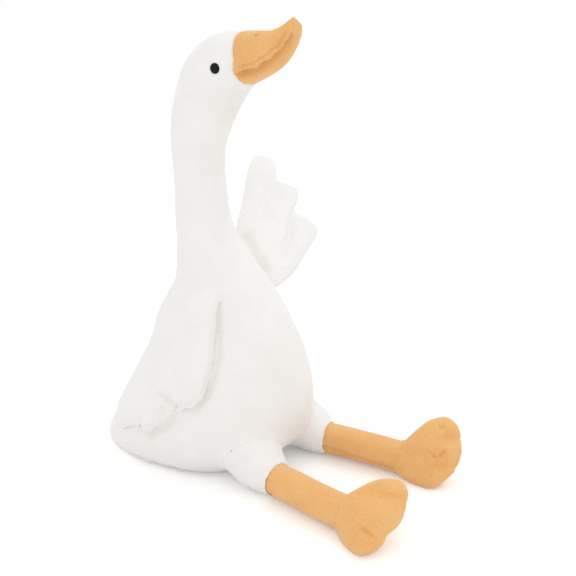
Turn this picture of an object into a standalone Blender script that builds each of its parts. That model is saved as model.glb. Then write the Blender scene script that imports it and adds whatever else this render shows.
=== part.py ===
"""Plush goose sitting upright on a flat seat, one wing hanging and one wing raised.

The floor is z = 0, the goose faces -Y and its own left side is +X.
"""
import math
from collections import namedtuple

import bmesh
import bpy
from mathutils import Matrix, Vector
from mathutils.bvhtree import BVHTree

MM = 0.001

# Driving dimensions, in millimetres
BODY_WIDTH = 176.0
BODY_DEPTH = 218.0
SHOULDER_HEIGHT = 209.0
NECK_DIAMETER = 51.0
NECK_TOP_HEIGHT = 312.0
HEAD_WIDTH = 60.0
HEAD_DEPTH = 66.0
BEAK_LENGTH = 58.0
BEAK_WIDTH = 50.0
EYE_DIAMETER = 10.0
WING_LENGTH = 174.0
WING_SPREAD = 145.0
WING_THICKNESS = 17.0
THIGH_LENGTH = 56.0
THIGH_DIAMETER = 56.0
SHANK_DIAMETER = 33.0
SHANK_LENGTH = 82.0
FOOT_LENGTH = 62.0
FOOT_WIDTH = 79.0
FOOT_THICKNESS = 36.0
GAP = 0.3

# Where things stand, from the sizes above
HIP_X = 0.24 * BODY_WIDTH
HIP_Y = -0.40 * BODY_DEPTH
LEG_TURN = {-1.0: 10.0, 1.0: 5.0}
SHOULDER_X = 0.24 * BODY_WIDTH
SHOULDER_Y = -0.195 * BODY_DEPTH

WHITE_PLUSH = (0.86, 0.85, 0.83, 1.0)
ORANGE_PLUSH = (0.82, 0.43, 0.14, 1.0)
EYE_BLACK = (0.01, 0.01, 0.01, 1.0)
PLUSH_ROUGHNESS = 0.95
EYE_ROUGHNESS = 0.12

CUTTERS = "cutters"


def clear_scene():
    for item in list(bpy.data.objects):
        bpy.data.objects.remove(item, do_unlink=True)
    for group in list(bpy.data.collections):
        bpy.data.collections.remove(group)


def collection(name):
    group = bpy.data.collections.new(name)
    bpy.context.scene.collection.children.link(group)
    return group


def link_mesh(name, mesh_edit, group):
    mesh = bpy.data.meshes.new(name)
    bmesh.ops.recalc_face_normals(mesh_edit, faces=mesh_edit.faces)
    if mesh_edit.calc_volume(signed=True) < 0.0:
        bmesh.ops.reverse_faces(mesh_edit, faces=mesh_edit.faces)
    mesh_edit.to_mesh(mesh)
    mesh_edit.free()
    mesh.transform(Matrix.Scale(MM, 4))
    mesh.polygons.foreach_set("use_smooth", [True] * len(mesh.polygons))
    item = bpy.data.objects.new(name, mesh)
    group.objects.link(item)
    return item


def node(name, mesh_edit, colour, roughness):
    item = link_mesh(name, mesh_edit, collection(name))
    material = bpy.data.materials.new(name)
    material.use_nodes = True
    shader = material.node_tree.nodes["Principled BSDF"]
    shader.inputs["Base Color"].default_value = colour
    shader.inputs["Roughness"].default_value = roughness
    item.data.materials.append(material)
    return item


def hide_cutter(item):
    item.hide_render = True
    item.display_type = "WIRE"
    return item


def cut(item, tool):
    step = item.modifiers.new("cut by " + tool.name, "BOOLEAN")
    step.operation = "DIFFERENCE"
    step.solver = "EXACT"
    step.object = tool


def smooth(item, levels):
    step = item.modifiers.new("round", "SUBSURF")
    step.levels = levels
    step.render_levels = levels


def cleared_copy(item):
    """A copy of a piece grown by the gap, to cut its neighbour with."""
    grown = hide_cutter(bpy.data.objects.new(item.name + " clearance", item.data.copy()))
    bpy.data.collections[CUTTERS].objects.link(grown)
    for source in item.modifiers:
        if source.type == "SUBSURF":
            smooth(grown, source.levels)
    step = grown.modifiers.new("grow", "DISPLACE")
    step.strength = GAP * MM
    step.mid_level = 0.0
    return grown


def ring_loft(rings):
    """Bridge closed rings of points, with the first and last ring capped."""
    mesh_edit = bmesh.new()
    loops = [[mesh_edit.verts.new(point) for point in points] for points in rings]
    for lower, upper in zip(loops, loops[1:]):
        for step in range(len(lower)):
            mesh_edit.faces.new((lower[step - 1], lower[step], upper[step], upper[step - 1]))
    for verts in (loops[0], loops[-1]):
        mesh_edit.faces.new(verts)
    return mesh_edit


def oval(back, front, half_width, squareness, around):
    """A ring in a plane that holds X, from its rear point to its front point (y, z)."""
    centre = Vector((0.0, 0.5 * (back[0] + front[0]), 0.5 * (back[1] + front[1])))
    reach = Vector((0.0, 0.5 * (front[0] - back[0]), 0.5 * (front[1] - back[1])))
    side = Vector((half_width, 0.0, 0.0))
    # Subdividing a coarse ring pulls it in by this much
    grow = 3.0 / (2.0 + math.cos(math.tau / around))
    points = []
    for step in range(around):
        turn = math.tau * (step + 0.5) / around
        along, across = math.cos(turn), math.sin(turn)
        bend = 2.0 / squareness
        along = math.copysign(abs(along) ** bend, along)
        across = math.copysign(abs(across) ** bend, across)
        points.append(centre + grow * (reach * along + side * across))
    return points


# Rings of the torso: height, rear, front and half width as shares of the body's sizes
TORSO = (
    (-0.060, 0.400, -0.280, 0.34),
    (-0.006, 0.490, -0.385, 0.43),
    (0.065, 0.472, -0.520, 0.485),
    (0.240, 0.335, -0.628, 0.495),
    (0.405, 0.235, -0.628, 0.455),
    (0.600, 0.125, -0.575, 0.385),
    (0.790, 0.040, -0.498, 0.298),
    (0.960, 0.020, -0.384, 0.225),
    (1.120, 0.048, -0.242, 0.155),
)
TORSO_SQUARENESS = 2.25

# Rings of the neck: share of the way to its top, centre and half width in neck diameters
NECK = (
    (0.64, -0.315, 0.51),
    (1.00, -0.29, 0.505),
)

# Rings of the head from the top of the neck: rear and front point (y, z) in head depths
HEAD = (
    ((0.20, 0.50), (-0.67, 0.30), 0.43),
    ((0.11, 1.00), (-0.86, 0.65), 0.47),
    ((-0.06, 1.46), (-1.01, 0.90), 0.50),
    ((-0.42, 1.78), (-1.12, 1.09), 0.50),
    ((-0.72, 1.925), (-1.18, 1.14), 0.47),
    ((-1.05, 1.925), (-1.215, 1.18), 0.425),
    ((-1.09, 1.90), (-1.25, 1.20), 0.415),
)
BODY_POINT_COUNT = 16


def head_point(shares):
    """A point (y, z) given in head depths from the top of the neck."""
    return shares[0] * HEAD_DEPTH, NECK_TOP_HEIGHT + shares[1] * HEAD_DEPTH


def body_rings():
    rings = []
    for height, rear, front, half in TORSO:
        z = height * SHOULDER_HEIGHT
        back_point, front_point = (rear * BODY_DEPTH, z), (front * BODY_DEPTH, z)
        rings.append(oval(back_point, front_point, half * BODY_WIDTH, TORSO_SQUARENESS, BODY_POINT_COUNT))
    for share, centre, half in NECK:
        z = SHOULDER_HEIGHT + share * (NECK_TOP_HEIGHT - SHOULDER_HEIGHT)
        y, reach = centre * NECK_DIAMETER, half * NECK_DIAMETER
        rings.append(oval((y + reach, z), (y - reach, z), reach, 2.0, BODY_POINT_COUNT))
    for rear, front, half in HEAD:
        rings.append(oval(head_point(rear), head_point(front), half * HEAD_WIDTH, 2.0, BODY_POINT_COUNT))
    return rings


def floor_block():
    block = bmesh.new()
    bmesh.ops.create_cube(block, size=4.0 * BODY_DEPTH)
    bmesh.ops.translate(block, verts=block.verts, vec=(0.0, 0.0, -2.0 * BODY_DEPTH))
    return hide_cutter(link_mesh("below the floor", block, bpy.data.collections[CUTTERS]))


clear_scene()
collection(CUTTERS)
floor = floor_block()
body = node("body", ring_loft(body_rings()), WHITE_PLUSH, PLUSH_ROUGHNESS)
smooth(body, 1)
around_body = cleared_copy(body)
cut(body, floor)


def fade(value, start, end):
    """0 below the start, 1 above the end, smooth between them."""
    share = min(1.0, max(0.0, (value - start) / (end - start)))
    return share * share * (3.0 - 2.0 * share)


def lobed_pad(place, columns, rows):
    """Two faces of a flat stuffed pad that meet in the seam along its outline.

    place(across, along, side) gives a point for shares across and along the pad.
    """
    mesh_edit = bmesh.new()
    for side in (1.0, -1.0):
        sheet = bmesh.ops.create_grid(mesh_edit, x_segments=columns, y_segments=rows, size=0.5)
        for vert in sheet["verts"]:
            vert.co = place(vert.co.x + 0.5, vert.co.y + 0.5, side)
    bmesh.ops.remove_doubles(mesh_edit, verts=mesh_edit.verts, dist=0.05)
    open_edges = [edge for edge in mesh_edit.edges if edge.is_boundary]
    if open_edges:
        bmesh.ops.holes_fill(mesh_edit, edges=open_edges, sides=0)
    return mesh_edit


def stitch_dip(across, stitches, width):
    """How far a pad is pulled in by the rows of stitches between its lobes, 0 to 1."""
    return max(math.exp(-(((across - stitch) / width) ** 2)) for stitch in stitches)


# Rows of stitches between the lobes, as shares of the way from the front or outer edge
WING_STITCHES = (0.41, 0.64)
WING_STITCH_WIDTH = 0.045
FOOT_STITCHES = (0.34, 0.66)
FOOT_STITCH_WIDTH = 0.06
FOOT_STITCH_DEPTH = 0.42
LOBE_POWER = 0.5


def lobed_edge(across, stitches, seam_reach, crown_reach):
    """Reach of a pad's outline: round crowns between the ends and stitches of its lobes."""
    ends = (0.0,) + stitches + (1.0,)
    lobe = 0
    while lobe < len(stitches) and across > ends[lobe + 1]:
        lobe += 1
    share = (across - ends[lobe]) / (ends[lobe + 1] - ends[lobe])
    base = seam_reach[lobe] + (seam_reach[lobe + 1] - seam_reach[lobe]) * share
    swell = abs(math.sin(math.pi * share)) ** LOBE_POWER
    return base + (crown_reach[lobe] - base) * swell


# The wing's flat pattern, with angles from its middle line, forward angles positive
WING_ROOT = 0.16 * WING_LENGTH
WING_ROOT_SHIFT = -0.03 * WING_LENGTH
WING_ROOT_DEPTH = 0.3 * WING_ROOT
WING_FAN = 2.0 * math.degrees(math.asin(0.5 * WING_SPREAD / (0.95 * WING_LENGTH)))
WING_FRONT_ANGLE = 0.42 * WING_FAN
WING_BACK_ANGLE = -0.58 * WING_FAN
WING_SEAM_REACH = (0.60, 0.72, 0.94, 1.02)
WING_CROWN_REACH = (0.79, 1.005, 1.165)
WING_COLUMN_COUNT = 24
WING_ROW_COUNT = 11

# How a wing is held: its directions, the belly of its front edge in root widths, the share
# of its front and back angles, the start and depth of its stitching, its bow and its wrap in millimetres
Hold = namedtuple("Hold", "out_along fore belly front_close back_close stitch_start stitch_depth bow wrap")
HANGING = Hold(
    out_along=(-0.20, 0.10, -0.96),
    fore=(0.0, -1.0, 0.10),
    belly=0.20,
    front_close=1.0,
    back_close=1.0,
    stitch_start=0.70,
    stitch_depth=0.35,
    bow=9.0,
    wrap=260.0,
)
RAISED = Hold(
    out_along=(0.955, 0.15, 0.26),
    fore=(-0.02, -0.78, -0.63),
    belly=0.15,
    front_close=0.70,
    back_close=1.0,
    stitch_start=0.25,
    stitch_depth=0.75,
    bow=4.0,
    wrap=6.0,
)
RAISED_SHIFT = (-9.0, -12.0, -25.0)
REST_LIFT_AT_ROOT = 0.04
REST_LIFT_AT_TIP = 0.30


def wing_pattern(across, along, hold):
    """A point of the flat wing (forward, outward along the wing); across runs front to back."""
    front_angle = WING_FRONT_ANGLE * hold.front_close
    back_angle = WING_BACK_ANGLE * hold.back_close
    angle = math.radians(front_angle + (back_angle - front_angle) * across)
    edge = lobed_edge(across, WING_STITCHES, WING_SEAM_REACH, WING_CROWN_REACH)
    root_forward = WING_ROOT * math.cos(math.pi * across) + WING_ROOT_SHIFT
    root_outward = WING_ROOT_DEPTH * (1.0 - math.sin(math.pi * across))
    tip = Vector((math.sin(angle), math.cos(angle))) * edge * WING_LENGTH
    front_share = max(0.0, math.cos(math.pi * across))
    belly = hold.belly * WING_ROOT * math.sin(math.pi * along) * front_share
    return Vector((root_forward, root_outward)).lerp(tip, along) + Vector((belly, 0.0))


def wing_swell(across, along, hold):
    """Half the wing's thickness at a point of the pattern."""
    edge = (1.0 - abs(2.0 * across - 1.0) ** 3.0) ** 0.5
    tip = max(0.0, 1.0 - along ** 7.0) ** 0.5
    root = min(1.0, along / 0.10) ** 0.5
    dip = hold.stitch_depth * stitch_dip(across, WING_STITCHES, WING_STITCH_WIDTH)
    dip *= fade(along, hold.stitch_start, hold.stitch_start + 0.35)
    return 0.5 * WING_THICKNESS * edge * tip * root * (1.0 - dip)


def wing_axes(hold):
    """Square the wing's two directions and give the one across its faces."""
    out_along = Vector(hold.out_along).normalized()
    fore = (Vector(hold.fore) - out_along * out_along.dot(Vector(hold.fore))).normalized()
    return out_along, fore, out_along.cross(fore)


def hanging_wing(shoulder):
    """The wing laid over the body's side, spanning what the body leaves free."""
    out_along, fore, face = wing_axes(HANGING)
    bpy.context.view_layer.update()
    skin = BVHTree.FromObject(body, bpy.context.evaluated_depsgraph_get())

    def place(across, along, side):
        forward, outward = wing_pattern(across, along, HANGING)
        flat = shoulder + out_along * outward + fore * forward
        start = flat + face * BODY_WIDTH
        spot = skin.ray_cast(start * MM, -face)[0] or skin.find_nearest(flat * MM)[0]
        hang = HANGING.bow * fade(along, 0.0, 0.3) - HANGING.wrap * (forward / WING_SPREAD) ** 2
        lift = max(hang, face.dot(spot / MM - flat))
        rest = REST_LIFT_AT_ROOT + (REST_LIFT_AT_TIP - REST_LIFT_AT_ROOT) * fade(along, 0.0, 0.35)
        lift += WING_THICKNESS * rest + side * wing_swell(across, along, HANGING)
        return flat + face * lift

    return place


def raised_wing(shoulder):
    """The wing held out, bowed along its length and across it."""
    out_along, fore, face = wing_axes(RAISED)

    def place(across, along, side):
        forward, outward = wing_pattern(across, along, RAISED)
        lift = RAISED.bow * math.sin(math.pi * min(1.0, outward / WING_LENGTH))
        lift -= RAISED.wrap * (forward / WING_SPREAD) ** 2
        lift += side * wing_swell(across, along, RAISED)
        return shoulder + out_along * outward + fore * forward + face * lift

    return place


def add_wing(name, place):
    pad = lobed_pad(place, WING_COLUMN_COUNT, WING_ROW_COUNT)
    cut(node(name, pad, WHITE_PLUSH, PLUSH_ROUGHNESS), around_body)


right_shoulder = Vector((-SHOULDER_X, SHOULDER_Y, SHOULDER_HEIGHT))
left_shoulder = Vector((SHOULDER_X, SHOULDER_Y, SHOULDER_HEIGHT)) + Vector(RAISED_SHIFT)
add_wing("wing_right", hanging_wing(right_shoulder))
add_wing("wing_left", raised_wing(left_shoulder))


def ring(centre, across, up, radius, around):
    """A ring of points about a centre, in the plane of two unit directions."""
    turns = [math.tau * step / around for step in range(around)]
    return [centre + radius * (across * math.cos(turn) + up * math.sin(turn)) for turn in turns]


def leg_frame(side):
    """Origin under the hip, and the leg's outward, forward and upward directions."""
    turn = math.radians(LEG_TURN[side])
    outward = Vector((side * math.cos(turn), math.sin(turn), 0.0))
    forward = Vector((side * math.sin(turn), -math.cos(turn), 0.0))
    return Vector((side * HIP_X, HIP_Y, 0.0)), outward, forward, Vector((0.0, 0.0, 1.0))


# Rings of the thigh: share of its length, of its half diameter, and of its slope to the cuff
THIGH = (
    (0.00, 0.70, 0.00),
    (0.16, 0.96, 0.00),
    (0.42, 1.04, 0.05),
    (0.66, 0.98, 0.25),
    (0.84, 0.83, 0.60),
    (0.95, 0.68, 0.93),
    (1.00, 0.655, 1.00),
)
CUFF_DEPTH = 5.0
CUFF_ROOM = 0.6
THIGH_RISE = 0.52 * THIGH_DIAMETER
CUFF_RISE = 0.33 * THIGH_DIAMETER
ANKLE_RISE = 0.55 * SHANK_DIAMETER
THIGH_POINT_COUNT = 12


def leg_centre(side, distance):
    """The leg's middle line, a given distance in front of the hip."""
    origin, _, forward, up = leg_frame(side)
    rise = CUFF_RISE + (ANKLE_RISE - CUFF_RISE) * (distance - THIGH_LENGTH) / SHANK_LENGTH
    return origin + forward * distance + up * rise


def add_thigh(name, side, shank):
    """The white upper leg, open at its cuff for the shank."""
    origin, outward, forward, up = leg_frame(side)
    rings = []
    for share, wide, slope in THIGH:
        rise = THIGH_RISE + (CUFF_RISE - THIGH_RISE) * slope
        centre = origin + forward * share * THIGH_LENGTH + up * rise
        half = 0.5 * THIGH_DIAMETER * wide
        rings.append(ring(centre, outward, up, half, THIGH_POINT_COUNT))
    mouth = 0.5 * SHANK_DIAMETER + CUFF_ROOM
    for back in (0.5, CUFF_DEPTH):
        centre = leg_centre(side, THIGH_LENGTH - back)
        rings.append(ring(centre, outward, up, mouth, THIGH_POINT_COUNT))
    thigh = node(name, ring_loft(rings), WHITE_PLUSH, PLUSH_ROUGHNESS)
    smooth(thigh, 1)
    for tool in (around_body, cleared_copy(shank), floor):
        cut(thigh, tool)


SHANK_POINT_COUNT = 20
SEAM_POINT_COUNT = 11
SEAM_DIP = 1.0
SHANK_TUCK = 1.5
SHANK_FULL = 12.0


def add_shank(name, side):
    """The orange lower leg, a stuffed tube with one sewn seam."""
    _, outward, forward, up = leg_frame(side)
    radius = 0.5 * SHANK_DIAMETER
    start = THIGH_LENGTH - CUFF_DEPTH + 1.0
    end = THIGH_LENGTH + SHANK_LENGTH
    profile = (
        (start, 0.80),
        (start + SHANK_TUCK, 0.97),
        (start + SHANK_FULL, 1.0),
        (end - SHANK_TUCK, 1.0),
        (end, 0.96),
    )
    rings = []
    for distance, wide in profile:
        centre = leg_centre(side, distance)
        points = ring(centre, outward, up, radius * wide, SHANK_POINT_COUNT)
        inward = (centre - points[SEAM_POINT_COUNT]).normalized()
        points[SEAM_POINT_COUNT] += inward * SEAM_DIP
        rings.append(points)
    shank = node(name, ring_loft(rings), ORANGE_PLUSH, PLUSH_ROUGHNESS)
    cut(shank, floor)
    return shank


# The foot is a fan with its point behind the ankle
FOOT_POINT = 0.42 * FOOT_LENGTH
FOOT_EDGE_SHARE = 0.90
FOOT_REACH = FOOT_LENGTH + FOOT_POINT
FOOT_SPREAD = math.degrees(math.asin(0.5 * FOOT_WIDTH / (FOOT_EDGE_SHARE * FOOT_REACH)))
FOOT_SEAM_REACH = (0.96, 0.985, 0.985, 0.96)
FOOT_CROWN_REACH = (1.0, 1.0, 1.0)
FOOT_BELLY = 0.09 * FOOT_WIDTH
FOOT_ROOT = 0.52 * SHANK_DIAMETER
FOOT_COLUMN_COUNT = 18
FOOT_ROW_COUNT = 12


def foot_pattern(across, along, lean):
    """A point of the flat foot (sideways, forward); lean turns the fan about its point."""
    angle = math.radians(lean + FOOT_SPREAD * (2.0 * across - 1.0))
    edge = lobed_edge(across, FOOT_STITCHES, FOOT_SEAM_REACH, FOOT_CROWN_REACH)
    reach = FOOT_REACH * edge
    reach *= FOOT_EDGE_SHARE + (1.0 - FOOT_EDGE_SHARE) * math.sin(math.pi * across)
    tip = Vector((reach * math.sin(angle), reach * math.cos(angle) - FOOT_POINT))
    root = Vector((FOOT_ROOT * (2.0 * across - 1.0), 0.0))
    belly = FOOT_BELLY * math.sin(math.pi * along) * (2.0 * across - 1.0)
    return root.lerp(tip, along) + Vector((belly, 0.0))


def foot_swell(across, along):
    """Half the foot's thickness at a point of the pattern."""
    edge = max(0.0, 1.0 - abs(2.0 * across - 1.0) ** 2.4) ** 0.5
    tip = max(0.0, 1.0 - along ** 3.6) ** 0.5
    bulge = SHANK_DIAMETER + (FOOT_THICKNESS - SHANK_DIAMETER) * fade(along, 0.0, 0.45)
    dip = FOOT_STITCH_DEPTH * stitch_dip(across, FOOT_STITCHES, FOOT_STITCH_WIDTH)
    dip *= fade(along, 0.45, 0.85)
    return 0.5 * bulge * edge * tip * (1.0 - dip)


def add_foot(name, side, roll, lean):
    """A foot whose outer edge is turned down by the roll angle and fanned by the lean angle."""
    _, outward, forward, up = leg_frame(side)
    ankle = leg_centre(side, THIGH_LENGTH + SHANK_LENGTH + GAP)
    turn = math.radians(roll)
    sideways = outward * math.cos(turn) - up * math.sin(turn)
    face = outward * math.sin(turn) + up * math.cos(turn)

    def place(across, along, top):
        side_step, forward_step = foot_pattern(across, along, lean)
        lift = top * foot_swell(across, along)
        return ankle + sideways * side_step + forward * forward_step + face * lift

    pad = lobed_pad(place, FOOT_COLUMN_COUNT, FOOT_ROW_COUNT)
    cut(node(name, pad, ORANGE_PLUSH, PLUSH_ROUGHNESS), floor)


# Name, side, roll and lean of each leg
LEGS = (
    ("right", -1.0, 38.0, -13.0),
    ("left", 1.0, -56.0, 11.0),
)
for name, side, roll, lean in LEGS:
    shank = add_shank("shank_" + name, side)
    add_thigh("thigh_" + name, side, shank)
    add_foot("foot_" + name, side, roll, lean)


# Rings of the beak from its seam: top and bottom point (y, z) and half width in beak widths
BEAK = (
    ((0.10, -0.06), (-0.06, -0.88), 0.450),
    ((0.00, 0.00), (-0.17, -0.84), 0.495),
    ((-0.27, 0.02), (-0.41, -0.73), 0.470),
    ((-0.53, 0.01), (-0.69, -0.57), 0.410),
    ((-0.72, 0.07), (-0.86, -0.40), 0.330),
    ((-0.85, 0.14), (-1.00, -0.19), 0.235),
    ((-0.93, 0.20), (-1.08, 0.00), 0.145),
    ((-0.98, 0.24), (-1.07, 0.14), 0.070),
)
LIP_SHARE = 0.70
LIP_OUT = 1.6
LOWER_WIDTH_SHARE = 0.93
LOWER_DEPTH_SHARE = 0.94
BEAK_STEP_COUNT = 8

# The upper half's lip, from one corner of the mouth to the other: across, and drop in beads
LIP_OUTLINE = (
    (-1.0, 1.0),
    (-0.8, 0.9),
    (0.0, 0.0),
    (0.8, 0.9),
    (1.0, 1.0),
)


def upper_beak_ring(crown, drop, half_width, bead):
    """The arch of the upper half, then its rolled lip."""
    down = drop.normalized()
    points = []
    for step in range(BEAK_STEP_COUNT + 1):
        turn = math.pi * step / BEAK_STEP_COUNT
        below = drop * LIP_SHARE * (1.0 - math.sin(turn) ** 0.85)
        points.append(crown + below + Vector((half_width * math.cos(turn), 0.0, 0.0)))
    for across, lower in LIP_OUTLINE:
        roll = math.copysign(bead, across) * (abs(across) == 1.0)
        sideways = Vector((across * half_width + roll, 0.0, 0.0))
        points.append(crown + drop * LIP_SHARE + down * bead * lower + sideways)
    return points


def lower_beak_ring(crown, drop, half_width, bead):
    """The hanging arc of the lower half, then its flat top under the lip."""
    down = drop.normalized()
    lip = crown + drop * LIP_SHARE
    depth = drop * (1.0 - LIP_SHARE) * LOWER_DEPTH_SHARE
    points = []
    for step in range(BEAK_STEP_COUNT + 1):
        turn = math.pi * step / BEAK_STEP_COUNT
        sideways = Vector((-LOWER_WIDTH_SHARE * half_width * math.cos(turn), 0.0, 0.0))
        points.append(lip + down * (bead + GAP) + depth * math.sin(turn) + sideways)
    for across in (0.5, 0.0, -0.5):
        sideways = Vector((across * half_width, 0.0, 0.0))
        points.append(lip + down * (bead + 2.0 * GAP) + sideways)
    return points


def beak_rings(half_ring):
    """Rings of one half of the beak, closed along the mouth."""
    seam_y, seam_z = head_point(HEAD[-2][0])
    seam = Vector((0.0, seam_y, seam_z + 2.0 * GAP))
    rings = []
    for top, bottom, half in BEAK:
        crown = seam + Vector((0.0, top[0], top[1])) * BEAK_LENGTH
        base = seam + Vector((0.0, bottom[0], bottom[1])) * BEAK_LENGTH
        bead = LIP_OUT * min(1.0, half / 0.3)
        rings.append(half_ring(crown, base - crown, half * BEAK_WIDTH, bead))
    return rings


upper = node("beak_upper", ring_loft(beak_rings(upper_beak_ring)), ORANGE_PLUSH, PLUSH_ROUGHNESS)
smooth(upper, 1)
cut(upper, around_body)
lower = node("beak_lower", ring_loft(beak_rings(lower_beak_ring)), ORANGE_PLUSH, PLUSH_ROUGHNESS)
smooth(lower, 1)
cut(lower, around_body)
cut(lower, cleared_copy(upper))

EYE_Y = -0.90 * HEAD_DEPTH
EYE_HEIGHT = NECK_TOP_HEIGHT + 1.44 * HEAD_DEPTH
EYE_DOME = 0.31 * EYE_DIAMETER
EYE_EDGE = 0.2
EYE_BACK = 0.8
EYE_STEP_COUNT = 4
EYE_POINT_COUNT = 16
STEM_DIAMETER = 3.0
STEM_LENGTH = 5.0


def add_eye(name, side):
    """A domed button on the head's side with a stem into the head."""
    bpy.context.view_layer.update()
    skin = BVHTree.FromObject(body, bpy.context.evaluated_depsgraph_get())
    start = Vector((side * HEAD_WIDTH, EYE_Y, EYE_HEIGHT)) * MM
    spot, outward, _, _ = skin.ray_cast(start, Vector((-side, 0.0, 0.0)))
    spot = spot / MM
    across = outward.cross(Vector((0.0, 0.0, 1.0))).normalized()
    up = across.cross(outward)
    radius = 0.5 * EYE_DIAMETER
    stem = 0.5 * STEM_DIAMETER
    profile = [(-STEM_LENGTH, stem), (-EYE_BACK, stem), (-EYE_BACK, 0.9 * radius), (-EYE_EDGE, radius)]
    for step in range(1, EYE_STEP_COUNT + 1):
        turn = 0.5 * math.pi * step / (EYE_STEP_COUNT + 0.6)
        profile.append((EYE_DOME * math.sin(turn), radius * math.cos(turn)))
    rings = [ring(spot + outward * rise, across, up, size, EYE_POINT_COUNT) for rise, size in profile]
    return node(name, ring_loft(rings), EYE_BLACK, EYE_ROUGHNESS)


eyes = [add_eye("eye_right", -1.0), add_eye("eye_left", 1.0)]
for eye in eyes:
    cut(body, cleared_copy(eye))
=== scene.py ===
"""A white plush goose sitting on a pale floor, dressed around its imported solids."""
import math

import bmesh
import bpy
import numpy as np
from mathutils import Matrix, Vector, noise
from mathutils.bvhtree import BVHTree


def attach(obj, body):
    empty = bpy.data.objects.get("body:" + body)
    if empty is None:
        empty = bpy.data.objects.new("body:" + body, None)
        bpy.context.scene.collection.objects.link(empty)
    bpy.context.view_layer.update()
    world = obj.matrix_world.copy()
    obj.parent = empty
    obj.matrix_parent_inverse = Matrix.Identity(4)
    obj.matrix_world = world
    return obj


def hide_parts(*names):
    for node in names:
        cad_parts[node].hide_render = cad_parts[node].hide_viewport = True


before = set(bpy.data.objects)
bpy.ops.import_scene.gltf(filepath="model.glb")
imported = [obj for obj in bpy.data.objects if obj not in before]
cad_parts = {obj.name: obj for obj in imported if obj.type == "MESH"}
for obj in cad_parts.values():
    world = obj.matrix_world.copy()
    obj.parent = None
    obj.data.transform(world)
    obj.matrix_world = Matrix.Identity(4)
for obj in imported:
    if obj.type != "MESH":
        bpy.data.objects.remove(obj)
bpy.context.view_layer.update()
scene = bpy.context.scene
mm = 0.001


# The camera
# It stands in front of the goose on its right, half a metre up, and looks down at it.
# The photograph is 576 pixels wide and its lens is 900 of those pixels long.
photo_width = 576
lens_pixels = 900.0
film_width = 36.0
camera_spot = Vector((-0.6913, -0.5693, 0.499))
camera_turn = math.radians(-57.0)
camera_drop = math.radians(20.0)

to_right = Vector((math.cos(camera_turn), math.sin(camera_turn), 0.0))
level_ahead = Vector((-math.sin(camera_turn), math.cos(camera_turn), 0.0))
ahead = level_ahead * math.cos(camera_drop) - Vector((0.0, 0.0, math.sin(camera_drop)))
upward = to_right.cross(ahead)

camera = bpy.data.objects.new("camera", bpy.data.cameras.new("camera"))
scene.collection.objects.link(camera)
camera.data.sensor_width = film_width
camera.data.lens = film_width * lens_pixels / photo_width
camera.data.clip_start = 0.05
camera.location = camera_spot
camera.rotation_euler = Matrix((to_right, upward, -ahead)).transposed().to_euler()
scene.camera = camera


def sight(pixel):
    """The direction in which the camera sees a pixel of the photograph."""
    across = (pixel[0] - 0.5 * photo_width) / lens_pixels
    down = (pixel[1] - 0.5 * photo_width) / lens_pixels
    return (ahead + to_right * across - upward * down).normalized()


# The body
# Head, neck and body are one bag of short white plush, filled tight with fibre.
# It is sewn from shaped panels, so it swells softly between its seams.
white_plush = (0.875, 0.869, 0.855, 1.0)
white_depth = (0.838, 0.829, 0.809, 1.0)
# The last is the colour that painted shade darkens the white plush towards.
white_painted_shade = (0.72, 0.65, 0.55, 1.0)


def spots_of(piece):
    """The places of a piece's points, one row each."""
    spots = np.empty(len(piece.data.vertices) * 3)
    piece.data.vertices.foreach_get("co", spots)
    return spots.reshape(-1, 3)


def put_spots(piece, spots):
    """Move a piece's points to those places."""
    piece.data.vertices.foreach_set("co", spots.ravel())
    piece.data.update()


def outward_of(piece):
    """Which way the surface faces at each of a piece's points."""
    outward = np.empty(len(piece.data.vertices) * 3)
    piece.data.vertex_normals.foreach_get("vector", outward)
    return outward.reshape(-1, 3)


def skin_copy(node, name, voxel, rounds):
    """A soft copy of a solid: even faces of one size, with its facets smoothed away."""
    piece = bpy.data.objects.new(name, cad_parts[node].data.copy())
    scene.collection.objects.link(piece)
    piece.data.materials.clear()
    mesh = bmesh.new()
    mesh.from_mesh(piece.data)
    bmesh.ops.remove_doubles(mesh, verts=mesh.verts, dist=0.01 * mm)
    mesh.to_mesh(piece.data)
    mesh.free()
    piece.data.remesh_voxel_size = voxel * mm
    piece.data.remesh_voxel_adaptivity = 0.0
    with bpy.context.temp_override(object=piece, active_object=piece, selected_objects=[piece]):
        bpy.ops.object.voxel_remesh()
    even_out(piece, rounds)
    return piece


def even_out(piece, rounds):
    """Smooth without shrinking, by a step in and a slightly longer step out each round."""
    step_in = 0.5
    step_out = -0.53
    spots = spots_of(piece)
    count = len(spots)
    ends = np.empty(2 * len(piece.data.edges), dtype=np.int64)
    piece.data.edges.foreach_get("vertices", ends)
    one, other = ends[0::2], ends[1::2]
    neighbours = np.maximum(1, np.bincount(ends, minlength=count))
    for step in (step_in, step_out) * rounds:
        for axis in range(3):
            place = spots[:, axis]
            total = np.bincount(one, place[other], count) + np.bincount(other, place[one], count)
            spots[:, axis] = place + step * (total / neighbours - place)
    put_spots(piece, spots)


def apply_modifiers(piece):
    """Bake the piece's modifiers into its mesh."""
    shaped = piece.evaluated_get(bpy.context.evaluated_depsgraph_get())
    mesh = bpy.data.meshes.new_from_object(shaped)
    piece.modifiers.clear()
    piece.data = mesh
    mesh.name = piece.name


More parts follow.
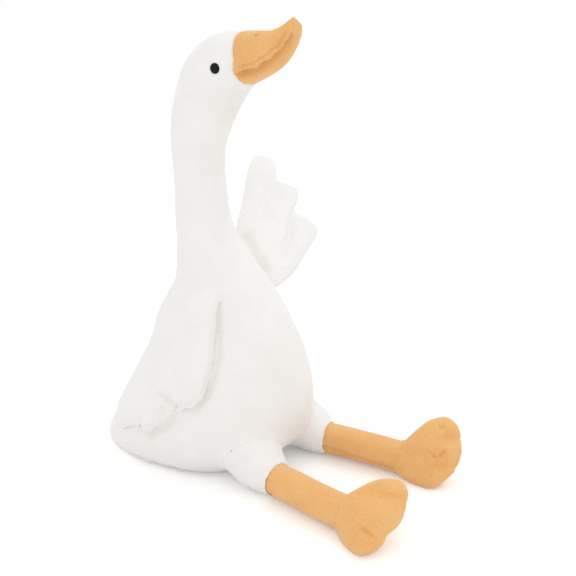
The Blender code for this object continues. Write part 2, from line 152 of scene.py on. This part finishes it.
def stuff(piece, cap):
    """Fill a piece by cloth pressure, and let no point move further than the cap."""
    filling_steps = 20
    before = spots_of(piece)
    cloth = piece.modifiers.new("cloth", "CLOTH")
    cloth.settings.quality = 6
    cloth.settings.use_pressure = True
    cloth.settings.uniform_pressure_force = 3.0
    cloth.settings.effector_weights.gravity = 0.0
    cloth.settings.tension_stiffness = 12.0
    cloth.settings.compression_stiffness = 12.0
    cloth.settings.bending_stiffness = 1.5
    cloth.point_cache.frame_start = 1
    cloth.point_cache.frame_end = filling_steps
    for step in range(1, filling_steps + 1):
        scene.frame_set(step)
    apply_modifiers(piece)
    scene.frame_set(1)
    after = spots_of(piece)
    move = after - before
    length = np.linalg.norm(move, axis=1, keepdims=True)
    put_spots(piece, before + move * np.minimum(1.0, cap * mm / np.maximum(length, 1e-9)))


def subdivide(piece, times=1):
    """Split every face in four, once or more, and round the surface."""
    step = piece.modifiers.new("finer", "SUBSURF")
    step.levels = times
    step.render_levels = times
    apply_modifiers(piece)


def seen_on(piece, pixels):
    """Where the photograph's pixels fall on a piece, as points from pixel to pixel."""
    pixels_apart = 2.0
    tree = BVHTree.FromObject(piece, bpy.context.evaluated_depsgraph_get())
    found = []
    for start, end in zip(pixels, pixels[1:]):
        count = max(2, round(math.dist(start, end) / pixels_apart))
        for step in range(count + 1):
            share = step / count
            pixel = [a + (b - a) * share for a, b in zip(start, end)]
            spot = tree.ray_cast(camera_spot, sight(pixel))[0]
            if spot:
                found.append(spot)
    return np.array([list(spot) for spot in found])


def press(piece, line, width, depth, taper=0.0, straight=False, shade_paint=0.0):
    """Push a soft groove of that half width into a piece along a line; minus raises a ridge.

    It goes in along the surface's own direction, or straight away from the camera.
    Along the groove it also paints shade into the colour, by the share given.
    """
    if len(line) < 2:
        return
    fades_out = 3.0
    facing_gain = 2.0
    spots = spots_of(piece)
    nearest = np.full(len(spots), np.inf)
    along = np.zeros(len(spots))
    reach = fades_out * width * mm
    low, high = line.min(0) - reach, line.max(0) + reach
    near = np.where(((spots > low) & (spots < high)).all(1))[0]
    close = spots[near]
    total = len(line) - 1
    for step, (start, end) in enumerate(zip(line, line[1:])):
        run = end - start
        share = np.clip((close - start) @ run / max(run @ run, 1e-12), 0.0, 1.0)
        gap = np.linalg.norm(close - start - share[:, None] * run, axis=1)
        better = gap < nearest[near]
        nearest[near[better]] = gap[better]
        along[near[better]] = (step + share[better]) / total
    amount = np.exp(-((nearest / (width * mm)) ** 2))
    if taper:
        ends = np.minimum(along, 1.0 - along) / taper
        amount *= np.clip(ends, 0.0, 1.0)
    outward = outward_of(piece)
    if straight:
        amount *= np.clip(-facing_gain * outward @ np.array(ahead), 0.0, 1.0)
        outward = -np.array(ahead)
    put_spots(piece, spots - outward * amount[:, None] * depth * mm)
    # Painted shade: this share darkens the plush colour towards its shade colour in the material.
    if shade_paint:
        painted_shade_layer = piece.data.attributes.get("painted_shade") or piece.data.attributes.new("painted_shade", "FLOAT", "POINT")
        shares = np.empty(len(spots), dtype=np.float32)
        painted_shade_layer.data.foreach_get("value", shares)
        shares = np.maximum(shares, (amount * shade_paint).astype(np.float32))
        painted_shade_layer.data.foreach_set("value", shares)


def press_along(piece, pixels, width, depth, taper=0.0, straight=False, shade_paint=0.0):
    """Press a fold into a piece where the photograph shows it, from pixel to pixel."""
    press(piece, seen_on(piece, pixels), width, depth, taper, straight, shade_paint)


def pull(piece, reach, moves):
    """Draw places on a piece softly from one pixel of the photograph to another.

    Each is taken hold of at the nearest spot to the camera, within a pixel and a half.
    """
    hold_pixels = 1.5
    spots = spots_of(piece)
    from_camera = spots - np.array(camera_spot)
    depth = from_camera @ np.array(ahead)
    across = 0.5 * photo_width + lens_pixels * (from_camera @ np.array(to_right)) / depth
    down = 0.5 * photo_width - lens_pixels * (from_camera @ np.array(upward)) / depth
    holds, shifts = [], []
    for start, end in moves:
        miss = np.hypot(across - start[0], down - start[1])
        close = np.where(miss < miss.min() + hold_pixels)[0]
        hold = close[depth[close].argmin()]
        shift = to_right * (end[0] - start[0]) - upward * (end[1] - start[1])
        holds.append(spots[hold])
        shifts.append(np.array(shift) * depth[hold] / lens_pixels)

    def softly(hold, places):
        return np.exp(-(np.linalg.norm(places - hold, axis=1) / (reach * mm)) ** 2)

    holds = np.array(holds)
    between = np.array([softly(hold, holds) for hold in holds])
    strengths = np.linalg.solve(between, np.array(shifts))
    shares = [softly(hold, spots)[:, None] * strength for hold, strength in zip(holds, strengths)]
    put_spots(piece, spots + sum(shares))


def swell_near(piece, other, reach, height):
    """Swell a sewn edge where it comes near another piece, so that the two close up softly."""
    tree = BVHTree.FromObject(other, bpy.context.evaluated_depsgraph_get())
    share = np.zeros((len(piece.data.vertices), 1))
    spots = spots_of(piece)
    for count, spot in enumerate(spots):
        away = tree.find_nearest(spot, reach * mm)[3]
        if away is not None:
            share[count] = (1.0 - away / (reach * mm)) ** 2
    put_spots(piece, spots + outward_of(piece) * share * height * mm)


def sew_down(piece, line, reach, sink, under):
    """Let a pad rise softly out of what it is sewn to, over a reach from its seam line."""
    tree = BVHTree.FromObject(under, bpy.context.evaluated_depsgraph_get())
    spots = spots_of(piece)
    away = np.full(len(spots), np.inf)
    for knot in line:
        away = np.minimum(away, np.linalg.norm(spots - knot, axis=1))
    for count in np.where(away < reach * mm)[0]:
        base, normal = tree.find_nearest(spots[count])[:2]
        base = np.array(base - normal * sink * mm)
        share = away[count] / (reach * mm)
        spots[count] = base + (spots[count] - base) * share * share * (3.0 - 2.0 * share)
    put_spots(piece, spots)


def rumple(piece, size, height, seed):
    """Slow uneven swelling of the filling, of that size across and height in millimetres."""
    spots = spots_of(piece)
    shift = Vector((seed, 0.37 * seed, -0.61 * seed))
    lift = [noise.noise(Vector(spot) / (size * mm) + shift) for spot in spots]
    put_spots(piece, spots + outward_of(piece) * np.array(lift)[:, None] * height * mm)


def keep_above_floor(piece):
    """Flatten what would sink into the floor, and leave a hair's breadth under it."""
    floor_gap = 0.2
    spots = spots_of(piece)
    spots[:, 2] = np.maximum(spots[:, 2], floor_gap * mm)
    put_spots(piece, spots)


def dress(piece, node, material):
    """Give a finished soft piece its material, hang it under the root and hide the solid it stands for."""
    keep_above_floor(piece)
    piece.data.polygons.foreach_set("use_smooth", [True] * len(piece.data.polygons))
    piece.data.materials.clear()
    piece.data.materials.append(material)
    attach(piece, "root")
    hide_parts(node)


def plush(name, light, deep, painted_shade, pile, sheen):
    """Short-pile plush: fine tufts, a slow change of nap, a soft sheen at grazing angles, and painted shade
    that darkens the colour where a piece carries it.
    """
    material = bpy.data.materials.new(name)
    material.use_nodes = True
    tree = material.node_tree
    shader = tree.nodes["Principled BSDF"]
    shader.inputs["Roughness"].default_value = 0.95
    shader.inputs["Specular IOR Level"].default_value = 0.12
    shader.inputs["Sheen Weight"].default_value = sheen
    shader.inputs["Sheen Roughness"].default_value = 0.45
    place = tree.nodes.new("ShaderNodeTexCoord")

    def grain(size, detail, roughness):
        texture = tree.nodes.new("ShaderNodeTexNoise")
        texture.inputs["Scale"].default_value = 1.0 / (size * mm)
        texture.inputs["Detail"].default_value = detail
        texture.inputs["Roughness"].default_value = roughness
        tree.links.new(place.outputs["Object"], texture.inputs["Vector"])
        return texture.outputs["Fac"]

    tufts = grain(pile, detail=3.0, roughness=0.65)
    nap = grain(26.0, detail=2.0, roughness=0.5)
    both = tree.nodes.new("ShaderNodeMix")
    both.inputs["Factor"].default_value = 0.4
    tree.links.new(tufts, both.inputs["A"])
    tree.links.new(nap, both.inputs["B"])
    spread = tree.nodes.new("ShaderNodeMapRange")
    spread.inputs["From Min"].default_value = 0.35
    spread.inputs["From Max"].default_value = 0.58
    tree.links.new(both.outputs["Result"], spread.inputs["Value"])
    colour = tree.nodes.new("ShaderNodeMix")
    colour.data_type = "RGBA"
    colour.inputs["A"].default_value = deep
    colour.inputs["B"].default_value = light
    tree.links.new(spread.outputs["Result"], colour.inputs["Factor"])
    # Painted shade: the colour darkens towards the shade colour by the share that press() painted.
    shade_share = tree.nodes.new("ShaderNodeAttribute")
    shade_share.attribute_name = "painted_shade"
    darker = tree.nodes.new("ShaderNodeMix")
    darker.data_type = "RGBA"
    darker.inputs["B"].default_value = painted_shade
    tree.links.new(shade_share.outputs["Fac"], darker.inputs["Factor"])
    tree.links.new(colour.outputs["Result"], darker.inputs["A"])
    tree.links.new(darker.outputs["Result"], shader.inputs["Base Color"])
    bump = tree.nodes.new("ShaderNodeBump")
    bump.inputs["Strength"].default_value = 0.35
    bump.inputs["Distance"].default_value = 0.5 * mm
    tree.links.new(tufts, bump.inputs["Height"])
    tree.links.new(bump.outputs["Normal"], shader.inputs["Normal"])
    return material


white = plush("white plush", white_plush, white_depth, white_painted_shade, pile=1.6, sheen=0.25)

body = skin_copy("body", "goose_body", voxel=5.5, rounds=12)
stuff(body, cap=3.0)
subdivide(body, times=2)
rumple(body, size=45.0, height=1.8, seed=3.0)
chin_fold = ((221, 92), (214, 104), (212, 122))
under_chin = ((246, 88), (237, 100), (230, 113), (225, 128))
press_along(body, chin_fold, width=6.0, depth=1.0, taper=0.4)
# Painted shade under the chin, over a shallow dip.
press_along(body, under_chin, width=13.0, depth=0.8, taper=0.2, shade_paint=0.22)
rumple(body, size=3.5, height=0.25, seed=8.0)
dress(body, "body", white)


# The eyes
# Two polished black domed buttons, pushed through the plush and locked inside the head.
# The plush closes in round each rim.
eye_black = (0.004, 0.004, 0.004, 1.0)


def gloss(name, colour, roughness):
    """Polished moulded plastic with a thin bright coat."""
    material = bpy.data.materials.new(name)
    material.use_nodes = True
    shader = material.node_tree.nodes["Principled BSDF"]
    shader.inputs["Base Color"].default_value = colour
    shader.inputs["Roughness"].default_value = roughness
    shader.inputs["Specular IOR Level"].default_value = 0.1
    shader.inputs["Coat Weight"].default_value = 0.12
    shader.inputs["Coat Roughness"].default_value = 0.04
    return material


def domed_button(name, node):
    """A domed button with a rounded rim, spun round the middle of the solid that it replaces.

    It looks out along the direction in which that solid is thinnest. Its profile runs from the
    flat back round the rim to the top of the dome, in shares of its radius.
    """
    flat_back = ((0.0, -0.25), (0.8, -0.25))
    dome_height = 0.45
    rim_inside = 0.55
    rim_round = 0.45
    rim_start = -60.0
    rim_turn = 150.0
    rim_rows = 10
    spin_steps = 48
    solid = spots_of(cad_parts[node])
    middle = 0.5 * (solid.max(0) + solid.min(0))
    thinnest = np.linalg.svd(solid - solid.mean(0))[2][2]
    out = Vector(thinnest if thinnest[0] * middle[0] > 0.0 else -thinnest)
    radius = 0.5 * (solid.max(0) - solid.min(0)).max()
    turned = out.to_track_quat("Z", "Y").to_matrix().to_4x4()
    mesh = bmesh.new()
    profile = list(flat_back)
    for row in range(rim_rows + 1):
        slant = math.radians(rim_start + rim_turn * row / rim_rows)
        across = math.cos(slant)
        if slant < 0.0:
            across = rim_inside + rim_round * across
        profile.append((across, dome_height * math.sin(slant)))
    corners = [mesh.verts.new((radius * across, 0.0, radius * height)) for across, height in profile]
    edges = [mesh.edges.new(pair) for pair in zip(corners, corners[1:])]
    bmesh.ops.spin(mesh, geom=corners + edges, cent=(0, 0, 0), axis=(0, 0, 1),
                   angle=math.tau, steps=spin_steps, use_merge=True)
    bmesh.ops.remove_doubles(mesh, verts=mesh.verts, dist=0.01 * mm)
    bmesh.ops.transform(mesh, matrix=Matrix.Translation(middle) @ turned, verts=mesh.verts)
    bmesh.ops.recalc_face_normals(mesh, faces=mesh.faces)
    piece = bpy.data.objects.new(name, bpy.data.meshes.new(name))
    mesh.to_mesh(piece.data)
    mesh.free()
    scene.collection.objects.link(piece)
    piece.data.polygons.foreach_set("use_smooth", [True] * len(piece.data.polygons))
    dimple = np.array([middle - 0.5 * mm * out, middle + 0.5 * mm * out])
    press(body, dimple, width=7.0, depth=0.9)
    return piece


button = gloss("black button", eye_black, roughness=0.12)
for side in ("right", "left"):
    eye = domed_button("goose_eye_" + side, "eye_" + side)
    eye.data.materials.append(button)
    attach(eye, "root")
    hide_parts("eye_" + side)


# The beak
# Two stuffed halves of orange plush, sewn to the face and to each other at the mouth.
# The upper half ends in a rolled lip over the lower one.
orange_plush = (0.84, 0.49, 0.20, 1.0)
orange_depth = (0.77, 0.40, 0.14, 1.0)
# The colour that painted shade darkens the orange plush towards.
orange_painted_shade = (0.62, 0.26, 0.07, 1.0)
orange = plush("orange plush", orange_plush, orange_depth, orange_painted_shade, pile=1.6, sheen=0.4)

beak_upper = skin_copy("beak_upper", "goose_beak_upper", voxel=1.4, rounds=6)
stuff(beak_upper, cap=0.8)
subdivide(beak_upper)
lip_seam = ((235, 68.5), (254, 62.5), (267, 54), (276.5, 46), (284, 36.5), (287.5, 26))
lip_roll = ((233, 71), (254, 65.5), (268, 56.5), (278, 48.5), (286, 38.5), (290, 27))
nostril = ((252, 36), (256, 35), (259.5, 34.5))
# Painted shade in the lip seam and the nostril, along with their grooves.
press_along(beak_upper, lip_seam, width=1.1, depth=0.9, taper=0.1, shade_paint=0.3)
press_along(beak_upper, lip_roll, width=1.8, depth=-1.6, taper=0.1)
press_along(beak_upper, nostril, width=1.4, depth=1.4, taper=0.3, shade_paint=0.5)
pull(beak_upper, reach=4.0, moves=(
    ((236, 72), (236, 73.5)),
    ((255, 67.5), (255, 69)),
    ((270, 58.5), (270.5, 60)),
    ((281, 48), (282, 49)),
    ((288.5, 37), (289.5, 37.5)),
))
even_out(beak_upper, rounds=3)
rumple(beak_upper, size=3.0, height=0.2, seed=31.0)
dress(beak_upper, "beak_upper", orange)

beak_lower = skin_copy("beak_lower", "goose_beak_lower", voxel=1.3, rounds=6)
stuff(beak_lower, cap=0.6)
subdivide(beak_lower)
jaw_hollow = ((236, 77.5), (247, 75.5), (258, 71.5), (269, 65), (280, 55), (288, 45), (294, 32))
# Painted shade on the lower half under the overhanging lip, along with a real hollow.
press_along(beak_lower, jaw_hollow, width=4.5, depth=1.4, taper=0.05, shade_paint=0.75)
pull(beak_lower, reach=7.0, moves=(
    ((237, 77), (233.5, 75)),
    ((248, 72), (246, 67)),
    ((264, 64), (261.5, 59)),
    ((275, 56), (271.5, 51.5)),
    ((284, 45), (280.5, 42)),
    ((291, 32), (288, 30.5)),
))
swell_near(beak_lower, beak_upper, reach=5.0, height=2.5)
even_out(beak_lower, rounds=3)
rumple(beak_lower, size=3.0, height=0.2, seed=33.0)
dress(beak_lower, "beak_lower", orange)


# The wings
# Flat pads of white plush with three lobes, sewn to the shoulders and lightly stuffed.
# The right one hangs down over the body and the left one is held out.
wing_right = skin_copy("wing_right", "goose_wing_right", voxel=2.2, rounds=8)
stuff(wing_right, cap=1.5)
subdivide(wing_right)
rumple(wing_right, size=30.0, height=0.8, seed=5.0)
pull(wing_right, reach=14.0, moves=(
    ((188, 283), (183, 281)),
    ((214, 283), (219, 286)),
    ((221, 310), (219.5, 310)),
    ((218, 345), (217, 345)),
    ((190, 413), (189, 411)),
    ((166, 406), (175, 406)),
    ((162, 417), (169, 418)),
    ((149, 435), (150, 431.5)),
    ((138, 423), (139, 426)),
    ((125, 432), (124, 426)),
    ((115, 428), (113, 425)),
))
pull(wing_right, reach=8.0, moves=(
    ((158, 313), (161, 313)),
    ((214, 358), (215.5, 358)),
    ((209, 375), (210.5, 375)),
    ((184, 414.5), (184, 409.5)),
    ((197, 410), (198, 406)),
    ((150, 433), (151, 431)),
    ((158, 430), (160, 427.5)),
    ((143, 428), (143, 429.5)),
))
shoulder_top = ((178, 275), (184, 272), (194, 271), (205, 275), (214, 280), (221, 286))
shoulder_seam = ((193, 281), (200, 282), (208, 283), (216, 286))
front_seam = (
    (220, 288), (217.5, 300), (216.7, 325), (216.7, 357), (206.7, 388), (198, 407), (190, 410), (180, 408),
)
lobe_seam = ((179, 410), (173, 417), (162, 427), (152, 431), (145, 429), (136, 426))
under_front_lobe = ((154, 393), (163, 397), (172, 403), (180, 408))
curl_crease = ((164, 403), (162, 414), (158, 422))
curl_ridge = ((172, 408), (167, 417), (160, 425))
rear_seam = ((136, 427), (125, 428), (113, 426))
# Painted shade in the fold under the front lobe and in the curl's crease.
press_along(wing_right, under_front_lobe, width=2.6, depth=2.2, taper=0.2, shade_paint=0.2)
press_along(wing_right, curl_crease, width=2.6, depth=1.8, taper=0.3, shade_paint=0.25)
press_along(wing_right, curl_ridge, width=2.2, depth=-1.2, taper=0.3)
swell_near(wing_right, body, reach=5.0, height=2.5)
for seam, reach, sink in (
    (shoulder_top, 12.0, 3.0),
    (shoulder_seam, 26.0, 1.6),
    (front_seam, 6.0, 0.4),
    (lobe_seam, 6.0, 0.4),
    (rear_seam, 12.0, 0.6),
):
    sew_down(wing_right, seen_on(body, seam), reach, sink, body)
even_out(wing_right, rounds=22)
beside_wing = (
    (222, 288), (219, 300), (219, 330), (219.5, 355), (214, 380), (206, 398), (199, 408), (188, 413),
)
under_lobes = ((178, 410), (172, 421), (163, 430), (150, 435), (143, 432))
# Painted shadow of the wing on the body, beside its front edge and under its lobes, with shallow grooves.
press_along(body, beside_wing, width=3.0, depth=1.0, taper=0.15, shade_paint=0.3)
press_along(body, under_lobes, width=4.0, depth=1.0, taper=0.15, shade_paint=0.35)
rumple(wing_right, size=3.5, height=0.25, seed=9.0)
dress(wing_right, "wing_right", white)

wing_left = skin_copy("wing_left", "goose_wing_left", voxel=2.2, rounds=8)
stuff(wing_left, cap=1.5)
subdivide(wing_left)
rumple(wing_left, size=30.0, height=0.8, seed=6.0)
pull(wing_left, reach=16.0, moves=(
    ((262, 154), (261, 152.5)),
    ((250, 161), (250, 161)),
    ((281, 168), (275.5, 167)),
    ((285, 186), (277.5, 178.5)),
    ((293, 187), (291, 183)),
    ((299.5, 195), (299, 193.5)),
    ((296.5, 217), (297.5, 212)),
    ((306, 220), (309, 216)),
    ((316, 235), (319, 230)),
    ((299, 267), (300, 268)),
    ((240, 201), (240, 204)),
    ((282, 236), (288, 237)),
    ((273, 251), (282, 258)),
))
first_groove = ((278, 180), (268, 191), (257, 207), (246, 225))
second_groove = ((297, 213), (291, 226), (289, 245), (284, 262))
pocket_edge = ((247, 238), (252, 246), (258, 256), (264, 268))
pocket_ledge = ((247, 230), (258, 226), (271, 226))
shaded_lobe = ((260, 160), (259, 180))
shaded_edge = ((252, 178), (244, 225))
# Painted shade in the grooves between the lobes.
press_along(wing_left, first_groove, width=5.0, depth=1.4, taper=0.2, shade_paint=0.1)
press_along(wing_left, second_groove, width=5.0, depth=0.5, taper=0.2, shade_paint=0.1)
# Painted shade on the first lobe and the left edge, which face away from the light.
press_along(wing_left, shaded_lobe, width=14.0, depth=0.2, shade_paint=0.09)
press_along(wing_left, shaded_edge, width=9.0, depth=0.2, shade_paint=0.1)
# Painted shade in the pocket where the wing meets the body, along with a real recess.
press_along(wing_left, pocket_edge, width=9.0, depth=4.0, straight=True, shade_paint=0.38)
press_along(wing_left, pocket_ledge, width=5.0, depth=-2.0, taper=0.2, straight=True)
even_out(wing_left, rounds=10)
rumple(wing_left, size=3.5, height=0.25, seed=10.0)
dress(wing_left, "wing_left", white)


# The legs
# White thighs end in an open cuff, where the orange tubes of the lower legs are sewn in.
# Each foot is a fat webbed pad with creases between its toes.
shank_seam = ((318, 444), (345, 453), (375, 463), (399, 470))
toe_shade = 0.12
toe_creases = {
    "right": (
        (((356, 524), (365, 530), (376, 539)), 2.2, 2.4),
        (((359, 541), (360, 545)), 6.0, -1.8),
        (((344, 505), (356, 493), (372, 486), (392, 481)), 4.5, -1.6),
    ),
    "left": (
        (((429, 453), (434, 457), (438, 460)), 1.8, 2.2),
        (((438, 460), (441, 455), (446, 449)), 1.8, 2.2),
        (((437, 427), (446, 428)), 2.6, 1.8),
        (((432, 470), (436, 472)), 5.0, -1.8),
        (((430, 475), (434, 476)), 1.8, 1.2),
    ),
}
shank_ends = {
    "right": (((333, 512), (340, 515)), ((350, 499), (357, 501))),
    "left": (((398, 466), (400, 467)), ((404, 444), (406, 445))),
}
foot_outline = {
    "right": (
        ((331, 515), (337, 515)),
        ((339, 538), (342, 541)),
        ((372, 555), (362, 556)),
        ((392, 541), (382, 541)),
        ((403, 520), (398, 517)),
        ((407, 500), (408, 497)),
        ((396, 477), (398, 478)),
        ((358, 493), (356, 493)),
    ),
    "left": (
        ((396, 452), (397, 456)),
        ((421, 483), (423, 481)),
        ((441, 490), (435, 486)),
        ((450, 486), (445, 481)),
        ((458, 466), (457, 464)),
        ((451, 427), (456, 426)),
    ),
}
for count, side in enumerate(("right", "left")):
    thigh = skin_copy("thigh_" + side, "goose_thigh_" + side, voxel=2.0, rounds=6)
    stuff(thigh, cap=1.0)
    subdivide(thigh)
    rumple(thigh, size=20.0, height=0.8, seed=11.0 + count)
    swell_near(thigh, body, reach=12.0, height=5.0)
    swell_near(body, thigh, reach=10.0, height=3.5)
    even_out(thigh, rounds=4)
    rumple(thigh, size=3.5, height=0.25, seed=41.0 + count)

    shank = skin_copy("shank_" + side, "goose_shank_" + side, voxel=2.0, rounds=3)
    stuff(shank, cap=0.6)
    subdivide(shank)
    rumple(shank, size=18.0, height=0.6, seed=15.0 + count)
    if side == "left":
        # Painted shade along the seam, along with its groove.
        press_along(shank, shank_seam, width=1.3, depth=0.9, taper=0.05, shade_paint=0.35)
    rumple(shank, size=3.0, height=0.2, seed=43.0 + count)
    swell_near(thigh, shank, reach=2.0, height=1.0)
    dress(thigh, "thigh_" + side, white)

    foot = skin_copy("foot_" + side, "goose_foot_" + side, voxel=2.0, rounds=6)
    stuff(foot, cap=1.2)
    subdivide(foot)
    rumple(foot, size=16.0, height=0.9, seed=19.0 + count)
    swell_near(foot, shank, reach=4.0, height=2.0)
    pull(foot, reach=16.0, moves=foot_outline[side])
    for line, width, depth in toe_creases[side]:
        # Painted shade in each crease, darker where the crease is deeper; ridges get none.
        press_along(foot, line, width, depth, taper=0.3, shade_paint=max(0.0, toe_shade * depth))
    even_out(foot, rounds=4)
    rumple(foot, size=3.0, height=0.3, seed=45.0 + count)
    pull(shank, reach=14.0, moves=shank_ends[side])
    swell_near(shank, foot, reach=3.0, height=1.5)
    dress(shank, "shank_" + side, orange)
    dress(foot, "foot_" + side, orange)


# The floor and the light
# A plain pale floor under a wide soft light from above, with a soft fill all round.
# The camera sees the lit floor as white, and only its shadows are darker.
floor_white = (0.93, 0.925, 0.915, 1.0)
floor_glow = 0.2
floor_reach = 6.0
sky_colour = (1.0, 0.998, 0.99, 1.0)
sky_strength = 0.93


def camera_sees(tree):
    """1 where the camera sees a surface directly, in a mirror or through glass."""
    path = tree.nodes.new("ShaderNodeLightPath")
    seen = path.outputs["Is Camera Ray"]
    for other in ("Is Glossy Ray", "Is Transmission Ray"):
        largest = tree.nodes.new("ShaderNodeMath")
        largest.operation = "MAXIMUM"
        tree.links.new(seen, largest.inputs[0])
        tree.links.new(path.outputs[other], largest.inputs[1])
        seen = largest.outputs["Value"]
    return seen


def pale_floor():
    """A plain matt floor, with a faint glow of its own that only the camera sees."""
    mesh = bmesh.new()
    bmesh.ops.create_grid(mesh, x_segments=2, y_segments=2, size=floor_reach)
    ground = bpy.data.objects.new("floor", bpy.data.meshes.new("floor"))
    mesh.to_mesh(ground.data)
    mesh.free()
    scene.collection.objects.link(ground)
    material = bpy.data.materials.new("pale floor")
    material.use_nodes = True
    tree = material.node_tree
    matt = tree.nodes["Principled BSDF"]
    matt.inputs["Base Color"].default_value = floor_white
    matt.inputs["Roughness"].default_value = 1.0
    matt.inputs["Specular IOR Level"].default_value = 0.0
    glow = tree.nodes.new("ShaderNodeEmission")
    share = tree.nodes.new("ShaderNodeMath")
    share.operation = "MULTIPLY"
    share.inputs[1].default_value = floor_glow
    tree.links.new(camera_sees(tree), share.inputs[0])
    tree.links.new(share.outputs["Value"], glow.inputs["Strength"])
    both = tree.nodes.new("ShaderNodeAddShader")
    tree.links.new(matt.outputs["BSDF"], both.inputs[0])
    tree.links.new(glow.outputs["Emission"], both.inputs[1])
    tree.links.new(both.outputs["Shader"], tree.nodes["Material Output"].inputs["Surface"])
    ground.data.materials.append(material)


def soft_sky():
    """Even light from all round, which the camera sees as plain white."""
    world = bpy.data.worlds.new("soft sky")
    world.use_nodes = True
    tree = world.node_tree
    dim = tree.nodes["Background"]
    dim.inputs["Color"].default_value = sky_colour
    dim.inputs["Strength"].default_value = sky_strength
    bright = tree.nodes.new("ShaderNodeBackground")
    bright.inputs["Color"].default_value = (1.0, 1.0, 1.0, 1.0)
    bright.inputs["Strength"].default_value = 1.0
    mix = tree.nodes.new("ShaderNodeMixShader")
    tree.links.new(camera_sees(tree), mix.inputs["Fac"])
    tree.links.new(dim.outputs["Background"], mix.inputs[1])
    tree.links.new(bright.outputs["Background"], mix.inputs[2])
    tree.links.new(mix.outputs["Shader"], tree.nodes["World Output"].inputs["Surface"])
    scene.world = world


def wide_light(name, aim, strength, softness):
    """A wide soft light, so far away that it falls evenly over the whole goose."""
    lamp = bpy.data.objects.new(name, bpy.data.lights.new(name, "SUN"))
    lamp.data.energy = strength
    lamp.data.angle = math.radians(softness)
    lamp.rotation_euler = Vector(aim).to_track_quat("-Z", "Y").to_euler()
    scene.collection.objects.link(lamp)


pale_floor()
soft_sky()
wide_light("overhead", aim=(-0.55, 0.0, -1.0), strength=0.42, softness=45.0)
wide_light("fill", aim=(0.6, 0.4, -0.45), strength=0.25, softness=110.0)
scene.view_settings.view_transform = "Standard"


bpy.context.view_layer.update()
